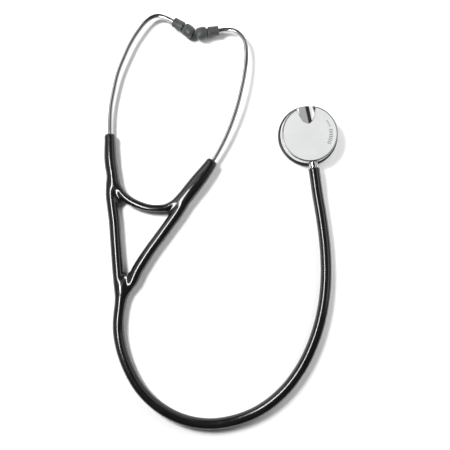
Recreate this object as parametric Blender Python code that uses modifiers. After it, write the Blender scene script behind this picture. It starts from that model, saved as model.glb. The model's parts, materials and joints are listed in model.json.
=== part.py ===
"""Stethoscope with a single-sided chestpiece, lying flat on a table.

Frame: +Z up, table top at z = 0, +Y from the hose loop towards the eartips, +X from the headset
towards the chestpiece. The origin is under the middle of the headset and chestpiece together.
Constants are in millimetres and MM turns them into metres where a mesh or a curve is made.
"""

import math

import bmesh
import bpy
from mathutils import Matrix, Vector

MM = 0.001
CLEARANCE = 0.3  # left between two pieces that touch or fit into each other
UP = Vector((0.0, 0.0, 1.0))

# Hose and yoke
HOSE_RADIUS = 4.5
LEG_RADIUS = 4.35
CHANNEL_RADIUS = 1.7  # sound channels inside the yoke
BRIDGE_HEIGHT_RATIO = 1.15  # the bridge is an oval, higher than it is wide

# Headset
EARTUBE_RADIUS = 1.85
EARTUBE_WALL = 0.55
SOCKET_DEPTH = 16.0  # how far each eartube goes into its sleeve
CLIP_START = 11.0  # clip, measured down from the mouth of the sleeve
CLIP_LENGTH = 5.0
CLIP_RADII = (2.15, 2.6)
SPRING_THICKNESS = 0.55
SPRING_HALF_HEIGHT = 1.5
SPRING_Z = 4.9

# Eartips, measured from the skirt's open end along the eartip's axis
TIP_LENGTH = 18.8
TIP_HOLE_RADIUS = 1.3
TIP_SEAT = 7.2  # depth of the wider hole that holds the ferrule
TIP_SEAT_RADIUS = 3.25
FERRULE_START = 1.0
FERRULE_LENGTH = 5.6
THREAD_ROOT_RADIUS = 2.65
THREAD_CREST_RADIUS = 2.95
THREAD_PITCH = 1.6

# Chestpiece
HEAD_CENTRE = Vector((71.0, 22.8, 0.0))
HEAD_HEIGHT = 13.5
FACE_RADIUS = 21.8
HEAD_RADIUS = 23.2
SEAT_RADIUS = 22.6  # where the rim grips the body
RIM_RADIUS = 24.6
STEM_HEIGHT = 7.6
STEM_ANGLE = math.radians(-81.5)  # direction in which the stem leaves the body
STEM_RADIUS = 2.6
STEM_COLLAR_RADIUS = 3.65
STEM_DEPTH = 9.0  # length of stem inside the body
STEM_END = 27.3  # from the chestpiece's axis to the end of the stem's collar
STEM_BORE_RADIUS = 1.5
NOTCH_START = 8.0  # from the chestpiece's axis to the point of the thumb notch
NOTCH_SLOPE = math.radians(18.0)
NOTCH_RADIUS = 9.5
DIAPHRAGM_RADIUS = 20.4
DIAPHRAGM_BOTTOM = 0.5  # it lies a little inside the rim's lower edge
DIAPHRAGM_THICKNESS = 0.45

# Each sleeve: the middle of its mouth, and the direction in which the eartube comes out
LEFT_MOUTH = Vector((-91.5, 23.9, 5.1))
LEFT_OUT = Vector((0.0, 1.0, 0.0))
RIGHT_MOUTH = Vector((-7.0, 2.2, 5.9))
RIGHT_OUT = Vector((0.592, 0.805, 0.035)).normalized()

# Hinge lines about which the two arms spread, where the bridge meets the legs
LEFT_HINGE = Vector((-89.6, -11.0, 5.0))
RIGHT_HINGE = Vector((-22.0, -18.0, 5.3))

# Each eartip: the middle of its skirt's open end, and the direction towards its bulb
LEFT_TIP = Vector((-39.2, 115.6, 5.2))
LEFT_TIP_AXIS = Vector((0.866, -0.5, 0.0))
RIGHT_TIP = Vector((-2.4, 108.4, 5.2))
RIGHT_TIP_AXIS = Vector((-0.991, -0.131, 0.0))

# Routes. A station is (x, y, z), with a radius as fourth number where the radius changes.
LEFT_SIDE = [
    (-91.5, 23.9, 5.1, 3.9),
    (-91.5, 23.1, 5.1, 4.45),
    (-91.5, 16.0, 5.1, 4.5),
    (-91.4, 10.5, 5.1, 4.8),
    (-91.1, 3.0, 5.1, 5.05),
    (-90.6, -2.1, 5.1, 5.05),
    (-89.5, -9.5, 5.0, 4.8),
    (-90.1, -18.0, 4.9, 4.75),
    (-90.4, -25.6, 4.75, 4.65),
    (-89.4, -36.0, 4.65, 4.55),
    (-87.9, -48.0, 4.65, 4.55),
    (-87.1, -60.0, 4.65, 4.55),
    (-86.3, -71.2, 4.65, 4.55),
    (-85.6, -81.0, 4.65, 4.55),
    (-84.8, -90.9, 4.65, 4.55),
    (-83.8, -101.0, 4.7, 4.6),
    (-82.9, -109.0, 4.75, 4.7),
    (-83.3, -116.0, 4.65, 4.6),
    (-84.1, -122.0, 4.5, 4.5),
]
RIGHT_SIDE = [
    (-7.0, 2.2, 5.9, 3.9),
    (-7.4, 1.6, 5.9, 4.5),
    (-10.1, -3.0, 5.7, 4.7),
    (-14.1, -8.9, 5.5, 5.0),
    (-18.8, -15.4, 5.4, 5.25),
    (-24.5, -22.7, 5.35, 5.25),
    (-30.7, -31.2, 5.1, 5.0),
    (-36.4, -40.7, 4.85, 4.75),
    (-43.3, -50.3, 4.75, 4.65),
    (-50.0, -59.4, 4.75, 4.65),
    (-59.0, -71.6, 4.75, 4.65),
    (-65.6, -81.6, 4.8, 4.75),
    (-69.6, -88.4, 4.85, 4.75),
    (-72.7, -95.3, 4.8, 4.7),
    (-75.6, -101.6, 4.75, 4.65),
    (-78.9, -107.9, 4.65, 4.5),
    (-81.9, -114.2, 4.55, 3.9),
]
BRIDGE = [
    (-89.0, -10.5, 4.8, 3.4),
    (-85.8, -18.7, 4.8, 3.5),
    (-81.3, -25.7, 4.8, 3.55),
    (-75.2, -30.7, 4.8, 3.5),
    (-67.0, -34.6, 4.8, 3.35),
    (-59.6, -36.6, 4.8, 3.1),
    (-53.0, -37.0, 4.8, 3.0),
    (-45.7, -36.3, 4.8, 3.1),
    (-39.1, -33.1, 4.8, 3.35),
    (-33.4, -27.7, 4.8, 3.5),
    (-27.6, -20.8, 4.9, 3.5),
    (-22.6, -14.4, 5.0, 3.4),
]
SPRING = [
    (-88.3, 12.0),
    (-88.3, 7.0),
    (-88.1, 1.0),
    (-87.6, -7.0),
    (-85.6, -17.0),
    (-81.3, -25.5),
    (-75.2, -30.7),
    (-67.0, -34.6),
    (-59.6, -36.6),
    (-53.0, -37.0),
    (-45.7, -36.3),
    (-39.1, -33.1),
    (-33.4, -27.7),
    (-28.1, -21.1),
    (-23.8, -15.2),
    (-20.4, -10.6),
    (-16.7, -5.6),
]
LEFT_EARTUBE = [
    (-91.5, 31.5, 5.1),
    (-90.7, 45.7, 5.3),
    (-88.1, 60.1, 5.6),
    (-84.6, 74.0, 6.0),
    (-79.3, 87.2, 6.3),
    (-74.1, 98.1, 6.4),
    (-67.8, 108.0, 6.4),
    (-61.9, 115.2, 6.2),
    (-56.5, 119.2, 5.9),
    (-52.0, 120.4, 5.7),
    (-46.6, 119.2, 5.4),
]
RIGHT_EARTUBE = [
    (1.2, 16.4, 6.5),
    (7.2, 30.0, 7.3),
    (11.9, 43.4, 8.1),
    (16.2, 59.9, 8.8),
    (18.4, 71.0, 9.0),
    (19.6, 80.0, 8.9),
    (20.0, 91.0, 8.4),
    (18.6, 99.4, 7.8),
    (14.6, 105.2, 7.1),
    (9.0, 108.4, 6.3),
    (3.2, 109.0, 5.6),
]
HOSE = [
    (-84.15, -122.4, 4.5),
    (-84.7, -128.4, 4.5),
    (-84.7, -137.5, 4.5),
    (-82.2, -152.2, 4.5),
    (-76.5, -168.2, 4.5),
    (-66.4, -185.5, 4.5),
    (-50.9, -200.3, 4.5),
    (-30.4, -210.6, 4.5),
    (-9.6, -213.8, 4.5),
    (11.0, -210.8, 4.5),
    (31.4, -202.4, 4.5),
    (49.8, -188.0, 4.5),
    (64.2, -169.6, 4.5),
    (75.3, -146.8, 4.5),
    (82.4, -122.1, 4.5),
    (85.5, -95.6, 4.5),
    (85.0, -71.3, 4.5),
    (81.6, -43.2, 4.7),
    (78.0, -23.0, 5.9),
]


def clear_scene():
    for leftover in list(bpy.data.objects):
        bpy.data.objects.remove(leftover)


def new_collection(name):
    made = bpy.data.collections.new(name)
    bpy.context.scene.collection.children.link(made)
    return made


def coat(name, colour, roughness, metallic=0.0):
    """A plain material of one colour."""
    made = bpy.data.materials.new(name)
    made.use_nodes = True
    surface = made.node_tree.nodes["Principled BSDF"]
    surface.inputs["Base Color"].default_value = (*colour, 1.0)
    surface.inputs["Roughness"].default_value = roughness
    surface.inputs["Metallic"].default_value = metallic
    return made


def smooth_route(stations, spacing):
    """Vectors about every spacing along one smooth curve through all the stations."""
    points = [Vector(station) for station in stations]
    gaps = [(Vector(b[:3]) - Vector(a[:3])).length for a, b in zip(points, points[1:])]
    slopes = [(b - a) / gap for a, b, gap in zip(points, points[1:], gaps)]
    tangents = [slopes[0]]
    for before, after, gap_before, gap_after in zip(slopes, slopes[1:], gaps, gaps[1:]):
        tangents.append((before * gap_after + after * gap_before) / (gap_before + gap_after))
    tangents.append(slopes[-1])
    route = []
    for index, gap in enumerate(gaps):
        steps = max(1, round(gap / spacing))
        for step in range(steps):
            t = step / steps
            route.append(
                points[index] * (2 * t**3 - 3 * t**2 + 1)
                + points[index + 1] * (3 * t**2 - 2 * t**3)
                + tangents[index] * gap * (t**3 - 2 * t**2 + t)
                + tangents[index + 1] * gap * (t**3 - t**2)
            )
    route.append(points[-1])
    return route


def with_radius(stations, radius):
    return [(*station[:3], radius) for station in stations]


def tube(name, stations, spacing, resolution, collection, material=None, capped=True, profile=None):
    """A round tube along stations (x, y, z, radius), or one with the section of a profile curve."""
    route = smooth_route(stations, spacing)
    curve = bpy.data.curves.new(name, "CURVE")
    curve.dimensions = "3D"
    curve.twist_mode = "Z_UP"
    curve.use_fill_caps = capped
    if profile:
        curve.bevel_mode = "OBJECT"
        curve.bevel_object = profile
    else:
        curve.bevel_depth = MM
        curve.bevel_resolution = resolution
    spline = curve.splines.new("POLY")
    spline.points.add(len(route) - 1)
    for point, station in zip(spline.points, route):
        point.co = (*(station.xyz * MM), 1.0)
        point.radius = station.w
    if material:
        curve.materials.append(material)
    made = bpy.data.objects.new(name, curve)
    collection.objects.link(made)
    return made


def oval_profile(name, height_ratio, sides, collection):
    """A closed curve one millimetre in half-width, used as the section of a tube."""
    curve = bpy.data.curves.new(name, "CURVE")
    curve.dimensions = "2D"
    spline = curve.splines.new("POLY")
    spline.use_cyclic_u = True
    spline.points.add(sides - 1)
    for index, point in enumerate(spline.points):
        turn = 2 * math.pi * index / sides
        point.co = (math.cos(turn) * MM, math.sin(turn) * height_ratio * MM, 0.0, 1.0)
    made = bpy.data.objects.new(name, curve)
    made.hide_render = True
    collection.objects.link(made)
    return made


def ribbon(name, stations, spacing, thickness, half_height, z, collection, material=None):
    """An upright strip that follows stations (x, y)."""
    route = smooth_route(stations, spacing)
    curve = bpy.data.curves.new(name, "CURVE")
    curve.dimensions = "2D"
    curve.fill_mode = "NONE"
    curve.extrude = half_height * MM
    spline = curve.splines.new("POLY")
    spline.points.add(len(route) - 1)
    for point, station in zip(spline.points, route):
        point.co = (station.x * MM, station.y * MM, 0.0, 1.0)
    if material:
        curve.materials.append(material)
    made = bpy.data.objects.new(name, curve)
    made.location.z = z * MM
    collection.objects.link(made)
    add_wall(made, thickness, offset=0.0)
    return made


def add_wall(thin, thickness, offset):
    wall = thin.modifiers.new("wall", "SOLIDIFY")
    wall.thickness = thickness * MM
    wall.offset = offset
    wall.use_even_offset = True


def as_mesh(curve_object):
    """Replaces a curve object by the mesh that it makes, with its caps welded on."""
    name = curve_object.name
    bpy.context.view_layer.update()
    graph = bpy.context.evaluated_depsgraph_get()
    mesh = bpy.data.meshes.new_from_object(curve_object.evaluated_get(graph))
    weld = bmesh.new()
    weld.from_mesh(mesh)
    bmesh.ops.remove_doubles(weld, verts=weld.verts, dist=1e-6)
    bmesh.ops.recalc_face_normals(weld, faces=weld.faces)
    weld.to_mesh(mesh)
    weld.free()
    made = bpy.data.objects.new(name, mesh)
    made.matrix_world = curve_object.matrix_world
    curve_object.users_collection[0].objects.link(made)
    bpy.data.objects.remove(curve_object)
    made.name = name
    return made


def standing_at(foot, axis):
    """The placement that puts an object's origin at foot and its Z along axis."""
    return Matrix.Translation(foot * MM) @ axis.to_track_quat("Z", "Y").to_matrix().to_4x4()


def turned(name, profile, steps, placement, collection, material=None):
    """A solid turned about its own Z from (radius, height) points, which run down its outer side."""
    mesh = bpy.data.meshes.new(name)
    corners = [(radius * MM, 0.0, height * MM) for radius, height in profile]
    edges = [(index, index + 1) for index in range(len(profile) - 1)]
    if profile[0][0] > 0:
        edges.append((len(profile) - 1, 0))
    mesh.from_pydata(corners, edges, [])
    if material:
        mesh.materials.append(material)
    made = bpy.data.objects.new(name, mesh)
    made.matrix_world = placement
    collection.objects.link(made)
    turn = made.modifiers.new("turn", "SCREW")
    turn.steps = steps
    turn.render_steps = steps
    turn.use_merge_vertices = True
    turn.merge_threshold = 1e-5
    turn.use_smooth_shade = True
    return made


def combine(target, tool, operation):
    """Adds tool to target, or cuts it away, and keeps tool as a hidden helper."""
    tool.hide_render = True
    tool.display_type = "WIRE"
    step = target.modifiers.new(f"{operation.lower()} {tool.name}", "BOOLEAN")
    step.operation = operation
    step.object = tool


def hinge_empty(name, pivot, collection):
    made = bpy.data.objects.new(name, None)
    made.empty_display_size = 10 * MM
    made.location = pivot * MM
    collection.objects.link(made)
    return made


def hang_on(hinge, *pieces):
    """Parents the pieces to a hinge empty without moving them."""
    for piece in pieces:
        piece.parent = hinge
        piece.matrix_parent_inverse = Matrix.Translation(-hinge.location)


def socket_cutter(name, mouth, outwards, cutters):
    """The hole for one eartube, with a wider chamber for its spring clip."""
    bore = EARTUBE_RADIUS + 0.35
    chamber = CLIP_RADII[1] + 0.35
    top = CLIP_START - 0.4
    bottom = CLIP_START + CLIP_LENGTH + 0.4
    profile = [
        (0.0, 2.0),
        (bore, 2.0),
        (bore, -top),
        (chamber, -top),
        (chamber, -bottom),
        (bore, -bottom),
        (bore, -SOCKET_DEPTH - 0.8),
        (0.0, -SOCKET_DEPTH - 0.8),
    ]
    return turned(name, profile, 16, standing_at(mouth, outwards), cutters)


def along(stations, mouth, depth):
    """The part of a route that lies deeper than depth below a sleeve's mouth."""
    return [s for s in stations if (Vector(s[:3]) - mouth).length > depth]


def make_yoke(parts, cutters, black):
    """The moulded piece: two sleeves, two legs, the spring bridge, and what is hollow inside it."""
    yoke = as_mesh(tube("tubing_yoke", LEFT_SIDE, 6.0, 4, parts, black))
    right_side = as_mesh(tube("right_side", RIGHT_SIDE, 6.5, 4, cutters))
    oval = oval_profile("bridge_section", BRIDGE_HEIGHT_RATIO, 12, cutters)
    bridge = as_mesh(tube("bridge", BRIDGE, 5.0, 0, cutters, profile=oval))
    combine(yoke, right_side, "UNION")
    combine(yoke, bridge, "UNION")

    left_bottom = LEFT_MOUTH - LEFT_OUT * (SOCKET_DEPTH + 0.4)
    right_bottom = RIGHT_MOUTH - RIGHT_OUT * (SOCKET_DEPTH + 0.4)
    left_channel = [tuple(left_bottom), *along(LEFT_SIDE, LEFT_MOUTH, SOCKET_DEPTH + 4), (-84.3, -123.5, 4.5)]
    right_channel = [tuple(right_bottom), *along(RIGHT_SIDE, RIGHT_MOUTH, SOCKET_DEPTH + 4)]
    for name, stations in (("left_channel", left_channel), ("right_channel", right_channel)):
        channel = tube(name, with_radius(stations, CHANNEL_RADIUS), 9.0, 2, cutters)
        combine(yoke, as_mesh(channel), "DIFFERENCE")
    combine(yoke, socket_cutter("left_socket", LEFT_MOUTH, LEFT_OUT, cutters), "DIFFERENCE")
    combine(yoke, socket_cutter("right_socket", RIGHT_MOUTH, RIGHT_OUT, cutters), "DIFFERENCE")
    slot = ribbon(
        "spring_slot",
        SPRING,
        5.0,
        SPRING_THICKNESS + 2 * CLEARANCE,
        SPRING_HALF_HEIGHT + CLEARANCE,
        SPRING_Z,
        cutters,
    )
    combine(yoke, as_mesh(slot), "DIFFERENCE")
    return yoke


def shortened(stations, length):
    """The same stations with both ends pulled in by length."""
    pulled = [Vector(s) for s in stations]
    for end, inner in ((0, 1), (-1, -2)):
        pulled[end] += (pulled[inner] - pulled[end]).normalized() * length
    return [tuple(p) for p in pulled]


def make_spring(parts, steel):
    return ribbon(
        "tension_spring",
        shortened(SPRING, CLEARANCE),
        5.0,
        SPRING_THICKNESS,
        SPRING_HALF_HEIGHT,
        SPRING_Z,
        parts,
        steel,
    )


def make_clip(name, mouth, outwards, parts, steel):
    """The ring that holds one end of the spring to its eartube."""
    inner, outer = CLIP_RADII
    top, bottom = -CLIP_START, -CLIP_START - CLIP_LENGTH
    profile = [(outer, top), (outer, bottom), (inner, bottom), (inner, top)]
    return turned(name, profile, 16, standing_at(mouth, outwards), parts, steel)


def make_eartube(name, stations, tip, tip_axis, parts, chrome):
    """A bent steel tube, straight inside its sleeve and inside its eartip."""
    inside_tip = [tuple(tip + tip_axis * depth) for depth in (-0.5, 3.0, FERRULE_START + FERRULE_LENGTH)]
    route = with_radius([*stations, *inside_tip], EARTUBE_RADIUS)
    made = tube(name, route, 7.0, 3, parts, chrome, capped=False)
    add_wall(made, EARTUBE_WALL, offset=-1.0)
    return made


def make_ferrule(name, tip, tip_axis, parts, steel):
    """The threaded sleeve on an eartube's end that its eartip screws onto."""
    inner = EARTUBE_RADIUS + CLEARANCE
    root, crest = THREAD_ROOT_RADIUS, THREAD_CREST_RADIUS
    top = FERRULE_START + FERRULE_LENGTH
    profile = [(root, top), (crest, top - 0.6)]
    for ridge in range(3):
        groove = top - 1.4 - THREAD_PITCH * ridge
        profile += [(root, groove), (crest, groove - THREAD_PITCH / 2)]
    profile += [(crest, FERRULE_START), (inner, FERRULE_START), (inner, top)]
    return turned(name, profile, 16, standing_at(tip, tip_axis), parts, steel)


def make_eartip(name, tip, tip_axis, parts, rubber):
    """A soft eartip: a skirt over the ferrule, a groove and a rounded bulb, with a hole right through."""
    profile = [
        (TIP_HOLE_RADIUS, TIP_LENGTH),
        (2.3, TIP_LENGTH),
        (3.1, 18.4),
        (4.1, 17.3),
        (4.8, 15.6),
        (5.1, 13.6),
        (4.95, 11.6),
        (4.4, 10.0),
        (3.5, 9.6),
        (3.5, 9.1),
        (4.2, 8.7),
        (4.1, 0.5),
        (3.8, 0.0),
        (TIP_SEAT_RADIUS, 0.0),
        (TIP_SEAT_RADIUS, TIP_SEAT),
        (TIP_HOLE_RADIUS, TIP_SEAT),
    ]
    return turned(name, profile, 20, standing_at(tip, tip_axis), parts, rubber)


def head_frame():
    """The chestpiece's own frame: Z up its axis, X along its stem."""
    return Matrix.Translation(HEAD_CENTRE * MM) @ Matrix.Rotation(STEM_ANGLE, 4, "Z")


def make_head(parts, cutters, steel):
    """The chestpiece's steel body, with its cavity, sound bore, stem hole and thumb notch."""
    frame = head_frame()
    profile = [
        (0.0, HEAD_HEIGHT),
        (FACE_RADIUS - 0.3, HEAD_HEIGHT),
        (FACE_RADIUS, HEAD_HEIGHT - 0.3),
        (22.6, 10.5),
        (HEAD_RADIUS, 7.0),
        (HEAD_RADIUS, 3.4),
        (SEAT_RADIUS, 3.4),
        (SEAT_RADIUS, 1.8),
        (20.9, 1.8),
        (20.9, 2.4),
        (STEM_BORE_RADIUS, 4.4),
        (STEM_BORE_RADIUS, STEM_HEIGHT),
        (0.0, STEM_HEIGHT),
    ]
    head = turned("chestpiece_body", profile, 48, frame, parts, steel)

    hole_end = HEAD_RADIUS - STEM_DEPTH - 0.3
    stem_hole = [
        (0.0, HEAD_RADIUS + 3.0),
        (STEM_RADIUS + CLEARANCE, HEAD_RADIUS + 3.0),
        (STEM_RADIUS + CLEARANCE, hole_end),
        (STEM_BORE_RADIUS, hole_end),
        (STEM_BORE_RADIUS, 0.0),
        (0.0, 0.0),
    ]
    to_stem = standing_at(Vector((0.0, 0.0, STEM_HEIGHT)), Vector((1.0, 0.0, 0.0)))
    combine(head, turned("stem_hole", stem_hole, 16, frame @ to_stem, cutters), "DIFFERENCE")

    outwards = Vector((-math.cos(NOTCH_SLOPE), 0.0, -math.sin(NOTCH_SLOPE)))
    across = Vector((-math.sin(NOTCH_SLOPE), 0.0, math.cos(NOTCH_SLOPE)))
    point = Vector((-NOTCH_START, 0.0, HEAD_HEIGHT))
    middle = point + across * NOTCH_RADIUS
    thumb = [(0.0, 30.0), (NOTCH_RADIUS, 30.0), (NOTCH_RADIUS, -12.0), (0.0, -12.0)]
    notch = turned("thumb_notch", thumb, 40, frame @ standing_at(middle, outwards), cutters)
    combine(head, notch, "DIFFERENCE")
    return head


def make_stem(parts, steel):
    """The tube that carries the sound out of the chestpiece, with the collar that the hose meets."""
    collar = HEAD_RADIUS + CLEARANCE
    profile = [
        (STEM_BORE_RADIUS, STEM_END),
        (STEM_COLLAR_RADIUS - 0.2, STEM_END),
        (STEM_COLLAR_RADIUS, STEM_END - 0.2),
        (STEM_COLLAR_RADIUS, collar),
        (STEM_RADIUS, collar),
        (STEM_RADIUS, HEAD_RADIUS - STEM_DEPTH),
        (STEM_BORE_RADIUS, HEAD_RADIUS - STEM_DEPTH),
    ]
    to_stem = standing_at(Vector((0.0, 0.0, STEM_HEIGHT)), Vector((1.0, 0.0, 0.0)))
    return turned("chestpiece_stem", profile, 24, head_frame() @ to_stem, parts, steel)


def make_diaphragm_parts(parts, plastic, rubber):
    """The stiff disc, the flexible ring round it, and the rim that grips the body's edge."""
    frame = head_frame()
    bottom = DIAPHRAGM_BOTTOM
    top = bottom + DIAPHRAGM_THICKNESS
    disc = [(0.0, top), (DIAPHRAGM_RADIUS, top), (DIAPHRAGM_RADIUS, bottom), (0.0, bottom)]
    surround = [(22.3, 1.5), (22.3, 0.9), (20.75, 0.9), (20.75, 1.5)]
    rim = [
        (23.3, 3.1),
        (24.3, 2.9),
        (RIM_RADIUS, 2.2),
        (RIM_RADIUS, 0.6),
        (24.0, 0.0),
        (21.7, 0.0),
        (21.2, 0.3),
        (21.2, 0.6),
        (22.9, 0.6),
        (22.9, 3.1),
    ]
    turned("diaphragm", disc, 36, frame, parts, plastic)
    turned("diaphragm_surround", surround, 36, frame, parts, rubber)
    turned("diaphragm_rim", rim, 48, frame, parts, rubber)


def hose_stations():
    """The hose's route, which ends against the stem's collar and in line with it."""
    stem = Vector((math.cos(STEM_ANGLE), math.sin(STEM_ANGLE), 0.0))
    end = HEAD_CENTRE + stem * (STEM_END + CLEARANCE) + UP * STEM_HEIGHT
    return [*HOSE, tuple(end + stem * 6.0), tuple(end)]


def make_stethoscope():
    clear_scene()
    parts = new_collection("stethoscope")
    cutters = new_collection("cutters")
    black = coat("black_vinyl", (0.012, 0.012, 0.013), 0.18)
    chrome = coat("polished_steel", (0.80, 0.80, 0.80), 0.12, 1.0)
    satin = coat("satin_steel", (0.72, 0.73, 0.73), 0.35, 1.0)
    spring_steel = coat("spring_steel", (0.45, 0.46, 0.48), 0.30, 1.0)
    rubber = coat("grey_rubber", (0.075, 0.085, 0.085), 0.6)
    black_plastic = coat("rim_black", (0.02, 0.02, 0.022), 0.35)
    disc_plastic = coat("diaphragm_grey", (0.45, 0.46, 0.45), 0.4)

    make_yoke(parts, cutters, black)
    make_spring(parts, spring_steel)
    tube("main_tube", with_radius(hose_stations(), HOSE_RADIUS), 10.0, 4, parts, black)

    for side, mouth, outwards, pivot, eartube, tip, tip_axis in (
        ("left", LEFT_MOUTH, LEFT_OUT, LEFT_HINGE, LEFT_EARTUBE, LEFT_TIP, LEFT_TIP_AXIS),
        ("right", RIGHT_MOUTH, RIGHT_OUT, RIGHT_HINGE, RIGHT_EARTUBE, RIGHT_TIP, RIGHT_TIP_AXIS),
    ):
        in_sleeve = [tuple(mouth - outwards * depth) for depth in (SOCKET_DEPTH, SOCKET_DEPTH / 2, 0.0)]
        hang_on(
            hinge_empty(f"{side}_arm_hinge", pivot, parts),
            make_eartube(f"{side}_eartube", [*in_sleeve, *eartube], tip, tip_axis, parts, chrome),
            make_clip(f"{side}_spring_clip", mouth, outwards, parts, spring_steel),
            make_ferrule(f"{side}_ferrule", tip, tip_axis, parts, spring_steel),
            make_eartip(f"{side}_eartip", tip, tip_axis, parts, rubber),
        )

    make_head(parts, cutters, satin)
    make_stem(parts, chrome)
    make_diaphragm_parts(parts, disc_plastic, black_plastic)


make_stethoscope()
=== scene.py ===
"""Looks of the stethoscope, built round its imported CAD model.

Everything is in metres in the CAD's own frame: +Z up, table top at z = 0, +Y from the hose loop towards the
eartips, +X from the headset towards the chestpiece. The routes are the ones that the CAD model is built on.
"""

import json
import math

import bmesh
import bpy
import numpy as np
from mathutils import Matrix, Vector
from mathutils.kdtree import KDTree

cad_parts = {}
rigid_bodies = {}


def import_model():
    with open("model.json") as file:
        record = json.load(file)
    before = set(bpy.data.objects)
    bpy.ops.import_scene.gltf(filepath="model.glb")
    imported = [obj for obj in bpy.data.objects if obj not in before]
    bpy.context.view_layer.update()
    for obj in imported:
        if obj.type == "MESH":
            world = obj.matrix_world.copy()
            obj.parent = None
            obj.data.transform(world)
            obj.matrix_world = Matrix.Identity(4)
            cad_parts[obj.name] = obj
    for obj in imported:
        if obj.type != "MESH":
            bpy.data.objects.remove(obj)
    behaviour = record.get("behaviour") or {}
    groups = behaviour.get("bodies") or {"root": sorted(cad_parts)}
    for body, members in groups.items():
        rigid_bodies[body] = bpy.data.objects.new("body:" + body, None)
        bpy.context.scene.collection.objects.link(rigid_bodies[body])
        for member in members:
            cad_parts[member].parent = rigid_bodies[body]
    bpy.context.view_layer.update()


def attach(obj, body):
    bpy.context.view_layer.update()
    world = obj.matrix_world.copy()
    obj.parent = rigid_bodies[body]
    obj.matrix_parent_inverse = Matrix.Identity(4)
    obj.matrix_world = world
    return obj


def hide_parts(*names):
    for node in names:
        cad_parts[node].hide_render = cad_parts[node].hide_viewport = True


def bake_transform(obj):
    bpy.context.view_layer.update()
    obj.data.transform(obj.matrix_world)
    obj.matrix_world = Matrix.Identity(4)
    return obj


CAD_GAP = 0.0003  # what CAD leaves between the hose and the pieces that it meets

# Camera, straight above the table
CAMERA_PLACE = (0.0027, -0.0507, 0.4545)
CAMERA_DISTANCE = 0.45  # down to the middle of the tubing
VIEW_WIDTH = 0.369  # of the table's strip that fills the frame, at that distance

# Tubing
HOSE_DIAMETER = 0.009
SLEEVE_RADIUS = 0.00445
BRIDGE_HEIGHT_RATIO = 1.15
LEFT_MOUTH = Vector((-0.0915, 0.0239, 0.0051))
LEFT_OUT = Vector((0.0, 1.0, 0.0))
RIGHT_MOUTH = Vector((-0.007, 0.0022, 0.0059))
RIGHT_OUT = Vector((0.592, 0.805, 0.035)).normalized()
LEFT_HINGE = Vector((-0.0896, -0.011, 0.005))
RIGHT_HINGE = Vector((-0.022, -0.018, 0.0053))
# Where each arm's bend starts and ends, along its sleeve from its hinge
LEFT_BEND = (-0.013, 0.0165)
RIGHT_BEND = (-0.013, 0.0088)
# Where the yoke is parted into its two halves
BRIDGE_MIDDLE = Vector((-0.0565, -0.0368, 0.0))
CROTCH = Vector((-0.0772, -0.0901, 0.0))
HOSE_LIP = 0.0009

# Headset
EARTUBE_RADIUS = 0.00185
EARTUBE_WALL = 0.00055
SOCKET_DEPTH = 0.016
CLIP_START = 0.011
CLIP_LENGTH = 0.005
SPRING_THICKNESS = 0.00055
SPRING_HALF_HEIGHT = 0.0015
SPRING_Z = 0.0049
LEFT_TIP = Vector((-0.0392, 0.1156, 0.0052))
LEFT_TIP_AXIS = Vector((0.866, -0.5, 0.0)).normalized()
RIGHT_TIP = Vector((-0.0024, 0.1084, 0.0052))
RIGHT_TIP_AXIS = Vector((-0.991, -0.131, 0.0)).normalized()
FERRULE_START = 0.001
FERRULE_LENGTH = 0.0056

# Chestpiece
HEAD_CENTRE = Vector((0.071, 0.0228, 0.0))
HEAD_HEIGHT = 0.0135
STEM_HEIGHT = 0.0076
STEM_ANGLE = math.radians(-81.5)
HEAD_RADIUS = 0.0232
STEM_END = 0.0273
NOTCH_START = 0.008
NOTCH_SLOPE = math.radians(18.0)
NOTCH_RADIUS = 0.0095

# Routes of the tubes: (x, y, z), with the tube's radius as fourth number where it changes
LEFT_SIDE = [
    (-0.0915, 0.0239, 0.0051, 0.0039),
    (-0.0915, 0.0231, 0.0051, 0.00445),
    (-0.0915, 0.016, 0.0051, 0.0045),
    (-0.0914, 0.0105, 0.0051, 0.0048),
    (-0.0911, 0.003, 0.0051, 0.00505),
    (-0.0906, -0.0021, 0.0051, 0.00505),
    (-0.0895, -0.0095, 0.005, 0.0048),
    (-0.0901, -0.018, 0.0049, 0.00475),
    (-0.0904, -0.0256, 0.00475, 0.00465),
    (-0.0894, -0.036, 0.00465, 0.00455),
    (-0.0879, -0.048, 0.00465, 0.00455),
    (-0.0871, -0.06, 0.00465, 0.00455),
    (-0.0863, -0.0712, 0.00465, 0.00455),
    (-0.0856, -0.081, 0.00465, 0.00455),
    (-0.0848, -0.0909, 0.00465, 0.00455),
    (-0.0838, -0.101, 0.0047, 0.0046),
    (-0.0829, -0.109, 0.00475, 0.0047),
    (-0.0833, -0.116, 0.00465, 0.0046),
    (-0.0841, -0.122, 0.0045, 0.0045),
]
RIGHT_SIDE = [
    (-0.007, 0.0022, 0.0059, 0.0039),
    (-0.0074, 0.0016, 0.0059, 0.0045),
    (-0.0101, -0.003, 0.0057, 0.0047),
    (-0.0141, -0.0089, 0.0055, 0.005),
    (-0.0188, -0.0154, 0.0054, 0.00525),
    (-0.0245, -0.0227, 0.00535, 0.00525),
    (-0.0307, -0.0312, 0.0051, 0.005),
    (-0.0364, -0.0407, 0.00485, 0.00475),
    (-0.0433, -0.0503, 0.00475, 0.00465),
    (-0.05, -0.0594, 0.00475, 0.00465),
    (-0.059, -0.0716, 0.00475, 0.00465),
    (-0.0656, -0.0816, 0.0048, 0.00475),
    (-0.0696, -0.0884, 0.00485, 0.00475),
    (-0.0727, -0.0953, 0.0048, 0.0047),
    (-0.0756, -0.1016, 0.00475, 0.00465),
    (-0.0789, -0.1079, 0.00465, 0.0045),
    (-0.0819, -0.1142, 0.00455, 0.0039),
]
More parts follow.
